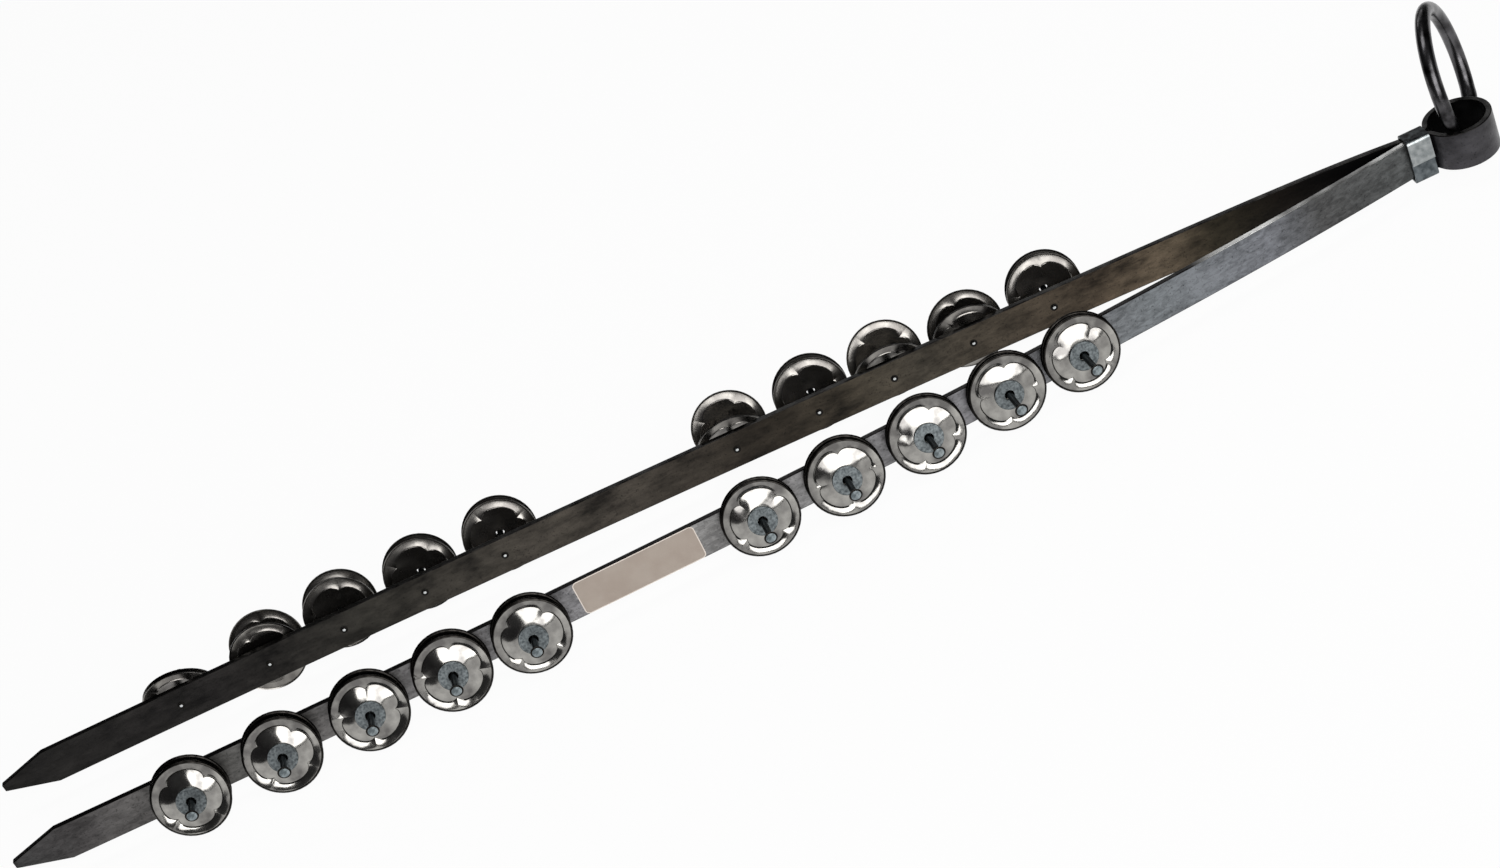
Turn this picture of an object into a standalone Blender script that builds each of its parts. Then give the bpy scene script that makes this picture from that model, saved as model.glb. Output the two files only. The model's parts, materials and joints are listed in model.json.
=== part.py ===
"""Chimta: iron tongs bent from one flat bar, played as a rattle.

The bar is folded round an eye, a sheet band clips the fold shut at the neck, and a loose ring hangs in the eye.
Each arm carries ten nails riveted through it, and on each nail ride two dished jingles and a washer.
The origin is the middle of the band's flat underside. +X runs from the tips to the eye, +Z is up,
and the tongs stand on edge, on the jingles' rims.
"""

import math

import bmesh
import bpy
from mathutils import Matrix, Vector

MM = 0.001

# Flat bar and running clearance
BAR_WIDTH = 20 * MM
BAR_THICKNESS = 3 * MM
CLEARANCE = 0.3 * MM

# Neck band: a strip of sheet wrapped once round both arms, its ends lapped on the near side
BAND_LENGTH = 12 * MM
BAND_THICKNESS = 1.2 * MM
BAND_SLACK = 0.4 * MM
BAND_CORNER = 1.6 * MM
BAND_LAP = 4 * MM
BAND_DROP = 1.6 * MM
ARM_SPACING = 0.9 * MM

# Eye: the fold of the bar past the band, measured at the middle of the bar's thickness
EYE_RADIUS = 15.3 * MM
EYE_NECK_BEND = 3.6 * MM

# Ring, with its centre measured from the middle of the eye's wall
RING_RADIUS = 34.4 * MM
RING_ROD = 7.4 * MM
RING_OUTWARD = 8.25 * MM
RING_RISE = 18.7 * MM
RING_BEARING = math.radians(63)
RING_LEAN = math.radians(-7.4)

# Arms: each leaves the band at a lean plus a flare that fades away, and toes in towards its tip
TIP_LENGTH = 26 * MM
TIP_WIDTH = 4 * MM
TOE_SPAN = 400 * MM
ARMS = {
    "near": {"side": -1, "reach": 749 * MM, "lean": 0.057, "flare": 0.129, "fade": 184 * MM, "toe": 8.3 * MM},
    "far": {"side": 1, "reach": 757 * MM, "lean": 0.058, "flare": 0.129, "fade": 38 * MM, "toe": 6.4 * MM},
}

# Nails in two groups of five on each arm, from the neck to the tip, with the hand drilling's errors
GROUP_SIZE = 5
FIRST_NAIL = 183 * MM
NAIL_PITCH = 43 * MM
GROUP_GAP = 123 * MM
DRILL_ERRORS_MM = {
    "near": (2.2, -1, -0.8, -0.5, 0.6, -1.4, -2.7, -2.3, 0.5, 5.5),
    "far": (0, 0, -0.5, -3, -1.5, 2, 3, 4.5, 2.5, 8.5),
}
NAIL_DIAMETER = 3.2 * MM
NAIL_STAND = 25 * MM
HEAD_DIAMETER = 6.6 * MM
HEAD_HEIGHT = 1.4 * MM
RIVET_DIAMETER = 4.4 * MM
RIVET_HEIGHT = 0.6 * MM

# Jingles: pressed sheet discs with a flat hub, a cone down to a crimped valley and a turned-up rim
JINGLE_DIAMETER = 38.6 * MM
JINGLE_SHEET = 0.5 * MM
JINGLE_HOLE = 5.6 * MM
HUB_DIAMETER = 12 * MM
VALLEY_DIAMETER = 29 * MM
DISH_DEPTH = 1.7 * MM
RIM_LIFT = 0.9 * MM
CRIMPS = 4
CRIMP_INSET = 2 * MM
CRIMP_LIFT = 0.7 * MM
STAND_DEPTH = 18.2 * MM

# How each pair lies, from the neck to the tip: hub's height on its nail (mm), lean of the top away from
# the arm and turn of the crimps (degrees)
HUB_HEIGHTS_MM = {
    "near": {
        "outer": (7.7, 7.5, 8.6, 9.4, 7.9, 12.6, 11.2, 11.4, 12, 12.6),
        "inner": (4.8, 4.6, 5.4, 5.5, 5, 7.6, 6.2, 6.4, 7, 7.4),
    },
    "far": {
        "outer": (19, 14.5, 19.8, 19.8, 19.8, 19.8, 18.5, 19.8, 15.5, 9.9),
        "inner": (15.5, 5, 6, 16, 6.4, 16, 14.5, 12.5, 4, 6.6),
    },
}
LEANS = {
    "near": {
        "outer": (-12, -11, -15, -14, -13, -12, -16, -16, -16, -15),
        "inner": (-12, -11, -14, -13, -12, -12, -15, -15, -14, -13),
    },
    "far": {
        "outer": (15, 10, 17, 14, 17, 15, 13, 16, 9, -20),
        "inner": (15, -10, -18, 14, -20, 15, 13, 10, 4, -20),
    },
}
TURNS = {
    "near": (47, 5, 63, 89, 33, 44, 72, 75, 45, 33),
    "far": (12, 58, 31, 80, 8, 66, 40, 21, 73, 50),
}
INNER_TURN = 28

# Washers, one under each nail's head
WASHER_DIAMETER = 14.6 * MM
WASHER_HOLE = 4.6 * MM
WASHER_THICKNESS = 1.2 * MM

# Facets
TURNED_SIDES = 16
NAIL_SIDES = 8
RING_SEGMENTS = 44
ROD_SIDES = 8
WASHER_SIDES = 12
ARM_STEPS = 22
EYE_STEPS = 28
BEND_STEPS = 4

NAIL_LEVEL = BAR_WIDTH / 2 + BAND_SLACK + BAND_THICKNESS + BAND_DROP
FLOOR_LEVEL = NAIL_LEVEL - STAND_DEPTH
ARM_MIDDLE = (ARM_SPACING + BAR_THICKNESS) / 2
BEND_START = BAND_LENGTH / 2 - BAR_THICKNESS * 0.4
UP = Vector((0, 0, 1))


def clear_scene():
    for obj in list(bpy.data.objects):
        bpy.data.objects.remove(obj, do_unlink=True)


def collection(name):
    made = bpy.data.collections.new(name)
    bpy.context.scene.collection.children.link(made)
    return made


def material(name, colour, metallic, roughness):
    made = bpy.data.materials.new(name)
    made.use_nodes = True
    shader = made.node_tree.nodes["Principled BSDF"]
    shader.inputs["Base Color"].default_value = (*colour, 1)
    shader.inputs["Metallic"].default_value = metallic
    shader.inputs["Roughness"].default_value = roughness
    return made


def add_object(name, mesh, finish, into):
    if not mesh.materials:
        mesh.materials.append(finish)
    made = bpy.data.objects.new(name, mesh)
    into.objects.link(made)
    return made


def mesh_from(bm, name):
    """Ends a bmesh: outward faces, smooth sides and sharp edges."""
    bmesh.ops.recalc_face_normals(bm, faces=bm.faces)
    mesh = bpy.data.meshes.new(name)
    bm.to_mesh(mesh)
    bm.free()
    mesh.shade_smooth()
    mesh.set_sharp_from_angle(angle=math.radians(35))
    return mesh


def turn_profile(bm, profile, sides):
    """Turns a closed loop of (radius, height) points about Z. Points on the axis become one."""
    corners = [bm.verts.new((radius, 0, height)) for radius, height in profile]
    edges = [bm.edges.new(pair) for pair in zip(corners, corners[1:] + corners[:1])]
    spun = bmesh.ops.spin(
        bm, geom=corners + edges, cent=(0, 0, 0), axis=UP, angle=2 * math.pi, steps=sides, use_merge=True
    )
    bmesh.ops.remove_doubles(bm, verts=bm.verts, dist=1e-6)
    loose = [edge for edge in bm.edges if not edge.link_faces]
    bmesh.ops.delete(bm, geom=loose, context="EDGES")
    return spun


def bar_mesh(name, path, half_widths, origin):
    """A standing strip along a plan path of (x, y) points, without thickness, about the nails' level."""
    bm = bmesh.new()
    rows = []
    for (x, y), half in zip(path, half_widths):
        foot = Vector((x, y, NAIL_LEVEL)) - origin
        rows.append([bm.verts.new(foot + UP * height) for height in (-half, half)])
    for (low, high), (next_low, next_high) in zip(rows, rows[1:]):
        bm.faces.new((low, next_low, next_high, high))
    return mesh_from(bm, name)


def thicken(obj, thickness):
    shell = obj.modifiers.new("Thickness", "SOLIDIFY")
    shell.thickness = thickness
    shell.offset = 0
    shell.use_even_offset = True


def arm_offset(arm, distance):
    """How far the middle of an arm's bar stands from the mid plane at a distance from the band."""
    flare = arm["flare"] * arm["fade"] * (1 - math.exp(-distance / arm["fade"]))
    toe = arm["toe"] * (distance / TOE_SPAN) ** 2
    return ARM_MIDDLE + arm["lean"] * distance + flare - toe


def arm_point(arm, distance):
    return (-BAND_LENGTH / 2 - distance, arm["side"] * arm_offset(arm, distance))


def outward_at(arm, distance):
    """The direction square to the bar, away from the other arm."""
    step = 1 * MM
    (x0, y0), (x1, y1) = arm_point(arm, distance - step), arm_point(arm, distance + step)
    along = Vector((x1 - x0, y1 - y0, 0)).normalized()
    return arm["side"] * Vector((along.y, -along.x, 0))


def nail_distance(arm_name, index):
    gap = GROUP_GAP - NAIL_PITCH if index >= GROUP_SIZE else 0
    return FIRST_NAIL + index * NAIL_PITCH + gap + DRILL_ERRORS_MM[arm_name][index] * MM


def nail_base(arm_name, index):
    """Where a nail leaves the arm's outer face, and its direction."""
    arm = ARMS[arm_name]
    distance = nail_distance(arm_name, index)
    outward = outward_at(arm, distance)
    middle = Vector((*arm_point(arm, distance), NAIL_LEVEL))
    return middle + outward * BAR_THICKNESS / 2, outward


def hinge_point(arm_name):
    return Vector((0, ARMS[arm_name]["side"] * ARM_MIDDLE, NAIL_LEVEL))


def nail_profile():
    shank = NAIL_DIAMETER / 2
    head = HEAD_DIAMETER / 2
    rivet = RIVET_DIAMETER / 2
    seat = -BAR_THICKNESS
    return [
        (0, NAIL_STAND),
        (head * 0.75, NAIL_STAND),
        (head, NAIL_STAND - HEAD_HEIGHT * 0.5),
        (shank, NAIL_STAND - HEAD_HEIGHT),
        (shank, seat + BAR_THICKNESS * 0.3),
        (rivet, seat + BAR_THICKNESS * 0.2),
        (rivet * 0.6, seat - RIVET_HEIGHT),
        (0, seat - RIVET_HEIGHT),
    ]


def make_nails(arm_name, finish, into):
    """All of an arm's nails as one mesh, for joining to the arm."""
    origin = hinge_point(arm_name)
    bm = bmesh.new()
    for index in range(2 * GROUP_SIZE):
        base, outward = nail_base(arm_name, index)
        one = bmesh.new()
        turn_profile(one, nail_profile(), NAIL_SIDES)
        place = Matrix.Translation(base - origin) @ outward.to_track_quat("Z", "Y").to_matrix().to_4x4()
        bmesh.ops.transform(one, matrix=place, verts=one.verts)
        spare = bpy.data.meshes.new("nail")
        one.to_mesh(spare)
        one.free()
        bm.from_mesh(spare)
        bpy.data.meshes.remove(spare)
    nails = add_object(f"{arm_name}_nails", mesh_from(bm, f"{arm_name}_nails"), finish, into)
    nails.location = origin
    nails.hide_render = True
    nails.display_type = "WIRE"
    return nails


def make_arm(arm_name, finish, nails, into):
    """One arm from the middle of the band to its narrowed tip, with its nails riveted in."""
    arm = ARMS[arm_name]
    shoulder = arm["reach"] - TIP_LENGTH
    distances = [shoulder * (step / ARM_STEPS) ** 1.4 for step in range(ARM_STEPS + 1)]
    distances.append(arm["reach"])
    path = [(-CLEARANCE / 2, arm["side"] * ARM_MIDDLE)] + [arm_point(arm, d) for d in distances]
    half_widths = [BAR_WIDTH / 2] * (len(path) - 1) + [TIP_WIDTH / 2]
    origin = hinge_point(arm_name)
    made = add_object(f"{arm_name}_arm", bar_mesh(f"{arm_name}_arm", path, half_widths, origin), finish, into)
    made.location = origin
    thicken(made, BAR_THICKNESS)
    riveted = made.modifiers.new("Riveted nails", "BOOLEAN")
    riveted.operation = "UNION"
    riveted.object = nails
    return made


def eye_centre():
    reach = EYE_RADIUS + EYE_NECK_BEND
    return BEND_START + math.sqrt(reach**2 - (ARM_MIDDLE + EYE_NECK_BEND) ** 2)


def make_bow(finish, into):
    """The folded end of the bar: two short legs in the band, bent out into a round eye."""
    centre = eye_centre()
    bend = Vector((BEND_START, ARM_MIDDLE + EYE_NECK_BEND))
    sweep = math.asin(bend.y / (EYE_RADIUS + EYE_NECK_BEND))
    half = [Vector((CLEARANCE / 2, ARM_MIDDLE))]
    for step in range(BEND_STEPS + 1):
        angle = -math.pi / 2 + (math.pi / 2 - sweep) * step / BEND_STEPS
        half.append(bend + EYE_NECK_BEND * Vector((math.cos(angle), math.sin(angle))))
    start = math.pi - sweep
    rim = []
    for step in range(1, EYE_STEPS):
        angle = start - 2 * start * step / EYE_STEPS
        rim.append(Vector((centre, 0)) + EYE_RADIUS * Vector((math.cos(angle), math.sin(angle))))
    mirrored = [Vector((point.x, -point.y)) for point in reversed(half)]
    path = half + rim + mirrored
    made = add_object("bow_eye", bar_mesh("bow_eye", path, [BAR_WIDTH / 2] * len(path), Vector()), finish, into)
    thicken(made, BAR_THICKNESS)


def rounded(corners, radius, steps):
    """An open path with its inner corners rounded by arcs."""
    path = [corners[0]]
    for before, corner, after in zip(corners, corners[1:], corners[2:]):
        into_corner = (before - corner).normalized()
        out_of_corner = (after - corner).normalized()
        centre = corner + (into_corner + out_of_corner) * radius
        for step in range(steps + 1):
            turn = math.pi / 2 * step / steps
            path.append(centre - out_of_corner * radius * math.cos(turn) - into_corner * radius * math.sin(turn))
    return path + [corners[-1]]


def make_band(finish, into):
    """The sheet wrap: up from the near side's lap, under, up the far side, over, and down as the outer flap."""
    wall = ARM_SPACING / 2 + BAR_THICKNESS + BAND_SLACK + BAND_THICKNESS / 2
    reach = BAR_WIDTH / 2 + BAND_SLACK + BAND_THICKNESS / 2
    flap = wall + BAND_THICKNESS + CLEARANCE
    corners = [
        Vector((-wall, BAND_LAP / 2)),
        Vector((-wall, -reach - BAND_DROP)),
        Vector((wall, -reach - BAND_DROP)),
        Vector((wall, reach)),
        Vector((-flap, reach)),
        Vector((-flap, -BAND_LAP / 2)),
    ]
    bm = bmesh.new()
    rows = []
    for point in rounded(corners, BAND_CORNER, BEND_STEPS):
        height = NAIL_LEVEL + point.y
        rows.append([bm.verts.new((x, point.x, height)) for x in (-BAND_LENGTH / 2, BAND_LENGTH / 2)])
    for (left, right), (next_left, next_right) in zip(rows, rows[1:]):
        bm.faces.new((left, right, next_right, next_left))
    made = add_object("neck_band", mesh_from(bm, "neck_band"), finish, into)
    thicken(made, BAND_THICKNESS)


def make_ring(finish, into):
    """The loose ring, through the eye and round its far wall, with its origin on the swing axis."""
    outward = Vector((math.cos(RING_BEARING), math.sin(RING_BEARING), 0))
    wall = Vector((eye_centre(), 0, NAIL_LEVEL)) + outward * EYE_RADIUS
    bpy.ops.mesh.primitive_torus_add(
        major_radius=RING_RADIUS,
        minor_radius=RING_ROD / 2,
        major_segments=RING_SEGMENTS,
        minor_segments=ROD_SIDES,
    )
    ring = bpy.context.object
    ring.name = "hanging_ring"
    for held_in in list(ring.users_collection):
        held_in.objects.unlink(ring)
    into.objects.link(ring)
    ring.data.materials.append(finish)
    ring.data.shade_smooth()
    ring.data.transform(Matrix.Translation((RING_OUTWARD, RING_RISE, 0)))
    upright = Matrix((outward, UP, outward.cross(UP))).transposed().to_4x4()
    ring.matrix_world = Matrix.Translation(wall) @ Matrix.Rotation(RING_LEAN, 4, outward) @ upright


def jingle_mesh(name, with_washer):
    """A dished disc about Z, hub face at zero and dome upwards, with the washer on its hub if asked."""
    hole = JINGLE_HOLE / 2
    hub = HUB_DIAMETER / 2
    valley = VALLEY_DIAMETER / 2
    rim = JINGLE_DIAMETER / 2
    top = [(hole, 0), (hub, 0), (valley, -DISH_DEPTH), (rim, RIM_LIFT - DISH_DEPTH)]
    under = [(radius, height - JINGLE_SHEET) for radius, height in reversed(top)]
    if with_washer:
        washer = WASHER_DIAMETER / 2
        cone = DISH_DEPTH * (washer - hub) / (valley - hub)
        top[:2] = [(hole, WASHER_THICKNESS), (washer, WASHER_THICKNESS), (washer, -cone)]
    bm = bmesh.new()
    turn_profile(bm, top + under, TURNED_SIDES)
    for corner in bm.verts:
        radius = corner.co.xy.length
        quarter = math.atan2(corner.co.y, corner.co.x) * CRIMPS / (2 * math.pi)
        if abs(radius - valley) < CRIMP_INSET / 2 and abs(quarter - round(quarter)) < 1 / TURNED_SIDES:
            corner.co.xy *= (valley - CRIMP_INSET) / radius
            corner.co.z += CRIMP_LIFT
    return mesh_from(bm, name)


def washer_mesh():
    hole = WASHER_HOLE / 2
    rim = WASHER_DIAMETER / 2
    bm = bmesh.new()
    turn_profile(bm, [(hole, 0), (rim, 0), (rim, WASHER_THICKNESS), (hole, WASHER_THICKNESS)], WASHER_SIDES)
    return mesh_from(bm, "washer")


def disc_frame(outward, lean, turn):
    """Axes of a disc on a nail: Z along its dome, leaned at the top and turned about itself."""
    normal = outward * math.cos(lean) - UP * math.sin(lean)
    rise = UP * math.cos(lean) + outward * math.sin(lean)
    axes = Matrix((rise.cross(normal), rise, normal)).transposed()
    return axes @ Matrix.Rotation(turn, 3, "Z")


def stand_on_floor(mesh, axes, place):
    """The place moved up or down until the lowest point of the disc meets the floor."""
    lowest = min((axes @ corner.co).z for corner in mesh.vertices)
    return Vector((place.x, place.y, FLOOR_LEVEL - lowest))


def hang(name, mesh, axes, place, arm, finish, into):
    made = add_object(name, mesh, finish, into)
    made.parent = arm
    made.matrix_parent_inverse = Matrix.Translation(-arm.location)
    made.location = place
    made.rotation_mode = "QUATERNION"
    made.rotation_quaternion = axes.to_quaternion()
    return made


def make_jingles(arm_name, arm, meshes, finishes, into):
    """Each nail's two jingles, nested with their domes away from the arm, and its washer."""
    for index in range(2 * GROUP_SIZE):
        base, outward = nail_base(arm_name, index)
        number = f"{index + 1:02d}"
        turn = math.radians(TURNS[arm_name][index])
        for side in ("inner", "outer"):
            lean = math.radians(LEANS[arm_name][side][index])
            height = HUB_HEIGHTS_MM[arm_name][side][index] * MM
            with_washer = side == "outer" and arm_name == "far"
            mesh = meshes["jingle_and_washer" if with_washer else "jingle"]
            axes = disc_frame(outward, lean, turn)
            place = stand_on_floor(meshes["jingle"], axes, base + outward * height)
            hang(f"{arm_name}_jingle_{number}_{side}", mesh, axes, place, arm, finishes["jingle"], into)
            turn += math.radians(INNER_TURN)
        if arm_name == "near":
            on_nail = (place - base).dot(axes.col[2]) + CLEARANCE
            seat = base + outward * on_nail / outward.dot(axes.col[2])
            hang(f"{arm_name}_washer_{number}", meshes["washer"], axes, seat, arm, finishes["washer"], into)


def main():
    clear_scene()
    parts = collection("chimta")
    joined = collection("joined_pieces")
    iron = material("blackened_iron", (0.07, 0.065, 0.062), 1, 0.5)
    galvanised = material("galvanised_sheet", (0.3, 0.32, 0.32), 1, 0.4)
    rod = material("drawn_steel_rod", (0.06, 0.06, 0.06), 1, 0.35)
    finishes = {
        "jingle": material("nickelled_sheet", (0.62, 0.6, 0.57), 1, 0.12),
        "washer": material("zinc_washer", (0.22, 0.24, 0.25), 1, 0.5),
    }
    meshes = {
        "jingle": jingle_mesh("jingle", False),
        "jingle_and_washer": jingle_mesh("jingle_and_washer", True),
        "washer": washer_mesh(),
    }
    make_bow(iron, parts)
    make_band(galvanised, parts)
    make_ring(rod, parts)
    for arm_name in ARMS:
        nails = make_nails(arm_name, iron, joined)
        arm = make_arm(arm_name, iron, nails, parts)
        make_jingles(arm_name, arm, meshes, finishes, parts)


main()
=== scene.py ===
"""Looks of the chimta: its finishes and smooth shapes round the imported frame, with light and camera."""

import json
import math

import bmesh
import bpy
from mathutils import Matrix, Vector


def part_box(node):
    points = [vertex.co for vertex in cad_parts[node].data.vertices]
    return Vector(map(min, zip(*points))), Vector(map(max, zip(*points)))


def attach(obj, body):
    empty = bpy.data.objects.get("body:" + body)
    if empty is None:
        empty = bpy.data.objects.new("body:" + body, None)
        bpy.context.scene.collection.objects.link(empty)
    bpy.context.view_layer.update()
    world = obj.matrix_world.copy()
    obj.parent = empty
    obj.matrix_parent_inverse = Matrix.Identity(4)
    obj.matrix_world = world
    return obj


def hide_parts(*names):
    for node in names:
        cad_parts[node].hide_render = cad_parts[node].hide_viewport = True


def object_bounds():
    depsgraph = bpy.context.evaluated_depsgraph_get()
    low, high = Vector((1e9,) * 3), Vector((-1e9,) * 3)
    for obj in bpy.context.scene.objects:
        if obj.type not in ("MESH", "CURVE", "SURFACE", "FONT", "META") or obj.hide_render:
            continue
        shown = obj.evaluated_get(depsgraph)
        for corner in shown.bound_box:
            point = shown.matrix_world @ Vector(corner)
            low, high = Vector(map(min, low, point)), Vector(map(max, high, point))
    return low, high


MM = 0.001
UP = Vector((0, 0, 1))

# Bar, band and eye, as in the frame
BAR_WIDTH = 20 * MM
BAR_THICKNESS = 3 * MM
BAND_LENGTH = 12 * MM
BAND_THICKNESS = 1.2 * MM
BAND_SLACK = 0.4 * MM
BAND_CORNER = 1.6 * MM
BAND_LAP = 4 * MM
BAND_DROP = 1.6 * MM
BAND_EDGE = 0.25 * MM
LAP_GAP = 0.3 * MM
ARM_SPACING = 0.9 * MM
ARM_MIDDLE = (ARM_SPACING + BAR_THICKNESS) / 2
SPLIT_GAP = 0.3 * MM
EYE_NECK_BEND = 3.6 * MM
BEND_START = BAND_LENGTH / 2 - BAR_THICKNESS * 0.4
WORN_EDGE = 0.45 * MM

# Arms: lean plus fading flare, less the toe-in
TIP_LENGTH = 26 * MM
TIP_WIDTH = 4 * MM
TOE_SPAN = 400 * MM
ARMS = {
    "near": {
        "side": -1,
        "reach": 749 * MM,
        "lean": 0.057,
        "flare": 0.129,
        "fade": 184 * MM,
        "toe": 8.3 * MM,
    },
    "far": {
        "side": 1,
        "reach": 757 * MM,
        "lean": 0.058,
        "flare": 0.129,
        "fade": 38 * MM,
        "toe": 6.4 * MM,
    },
}
ARM_STEPS = 90
ARM_STEP_GROWTH = 1.3

# Nails and washers
NAILS_PER_ARM = 10
NAIL_RADIUS = 1.6 * MM
NAIL_STAND = 25 * MM
HEAD_RADIUS = 3.3 * MM
HEAD_HEIGHT = 1.4 * MM
PEEN_RADIUS = 1.9 * MM
PEEN_HEIGHT = 0.5 * MM
WASHER_RADIUS = 7.3 * MM
WASHER_HOLE = 2.3 * MM
WASHER_THICKNESS = 1.2 * MM
WASHER_EDGE = 0.2 * MM
SEAT_GAP = 0.15 * MM

# Jingles: flat hub, dome down to the valley line, rounded rim up to its crest and over to the edge
JINGLE_RADIUS = 19.3 * MM
JINGLE_SHEET = 0.5 * MM
JINGLE_HOLE = 2.8 * MM
HUB_RING = 4.4 * MM
HUB_RADIUS = 6 * MM
VALLEY_RADIUS = 15 * MM
CREST_RADIUS = 18.2 * MM
DISH_DEPTH = 1.7 * MM
CREST_RISE = 0.9 * MM
EDGE_DROP = 0.5 * MM
RIM_LEVEL = -0.8 * MM
DOME_POWER = 1.08
STEP_SHARE = 0.45
STEP_REACH = 0.07
EDGE_POWER = 2.2
CRIMPS = 4
CRIMP_RADIUS = 12.5 * MM
PINCH_INSET = 2.8 * MM
PINCH_SPREAD = math.radians(8.5)
LOBE_HEIGHT = 0.2 * MM
STEPS_PER_CRIMP = 18
CRIMP_CROWDING = 1.9
# Degrees from the solids' crimps to those seen on the near outer jingles, neck to tip
NEAR_CRIMP_TURNS = (-29, -48, -29, -34, -29, -31, -27, -29, -29, -27)
# Of the rows of faces from the hub outwards, the one beside the valley line and those of the edge, which
# take painted shade
VALLEY_ROW = 7
EDGE_ROWS = 3

# The round ring inside its many-sided frame
RING_FIT = 0.997
RING_STEPS = 120
RING_SIDES = 20
WELD_TURN = 4.0
WELD_SPREAD = 0.05
WELD_SWELL = 0.05

# Blank sticker on the near arm, between the groups of nails
STICKER_FROM = 386.5 * MM
STICKER_TO = 450.4 * MM
STICKER_WIDTH = 19.6 * MM
STICKER_CORNER = 2.5 * MM
STICKER_MARGIN = 0.5 * MM
STICKER_PROUD = 0.08 * MM
STICKER_FACE_PROUD = STICKER_PROUD * 1.6
STICKER_STEPS = 40

# Share of the floor's own white that the camera and the reflections see, the rest being its shading
FLOOR_WHITENESS = 0.95
FLOOR_HALF = 6

# The stretch of the near arm, in x, over which its upper edge carries a painted highlight
HIGHLIGHT_FROM = -125 * MM
HIGHLIGHT_TO = -95 * MM

# Camera, matched to the photograph
CAMERA_PLACE = Vector((-318.0, -1091.8, 713.6)) * MM
CAMERA_LOOK = Vector((-0.02473, 0.8477, -0.5299))
CAMERA_ROLL = math.radians(-26.16)
CAMERA_LENS = 63.98

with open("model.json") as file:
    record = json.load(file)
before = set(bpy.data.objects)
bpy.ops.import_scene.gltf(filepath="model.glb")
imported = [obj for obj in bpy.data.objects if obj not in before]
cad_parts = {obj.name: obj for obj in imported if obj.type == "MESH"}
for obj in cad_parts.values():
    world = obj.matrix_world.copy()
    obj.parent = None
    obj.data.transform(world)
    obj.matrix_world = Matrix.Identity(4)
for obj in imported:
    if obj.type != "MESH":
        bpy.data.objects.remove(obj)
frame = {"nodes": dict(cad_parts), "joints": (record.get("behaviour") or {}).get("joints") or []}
cad_box = [list(corner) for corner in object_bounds()]
nodes = frame["nodes"]
slides = [joint for joint in frame["joints"] if joint["type"] == "slide"]
slide_axes = {joint["child"]: Vector(joint["axis"]) for joint in slides}
near_low, near_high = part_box("near_arm")
NAIL_LEVEL = (near_low.z + near_high.z) / 2


def linear(code, alpha=1):
    """An sRGB hex colour as linear RGBA."""
    channels = [int(code[at : at + 2], 16) / 255 for at in (1, 3, 5)]
    return (*[c / 12.92 if c <= 0.04045 else ((c + 0.055) / 1.055) ** 2.4 for c in channels], alpha)


def add_node(tree, kind, inputs=None, **settings):
    """Adds a node, sets it, and sets or links its inputs."""
    made = tree.nodes.new(kind)
    for name, value in settings.items():
        setattr(made, name, value)
    for key, value in (inputs or {}).items():
        if isinstance(value, bpy.types.NodeSocket):
            tree.links.new(value, made.inputs[key])
        else:
            made.inputs[key].default_value = value
    return made


def new_material(name):
    made = bpy.data.materials.new(name)
    made.use_nodes = True
    tree = made.node_tree
    return made, tree, tree.nodes["Principled BSDF"]


def per_metre(size_mm):
    """Noise scale for features of about this size in millimetres."""
    return 1 / (size_mm * MM)


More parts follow.
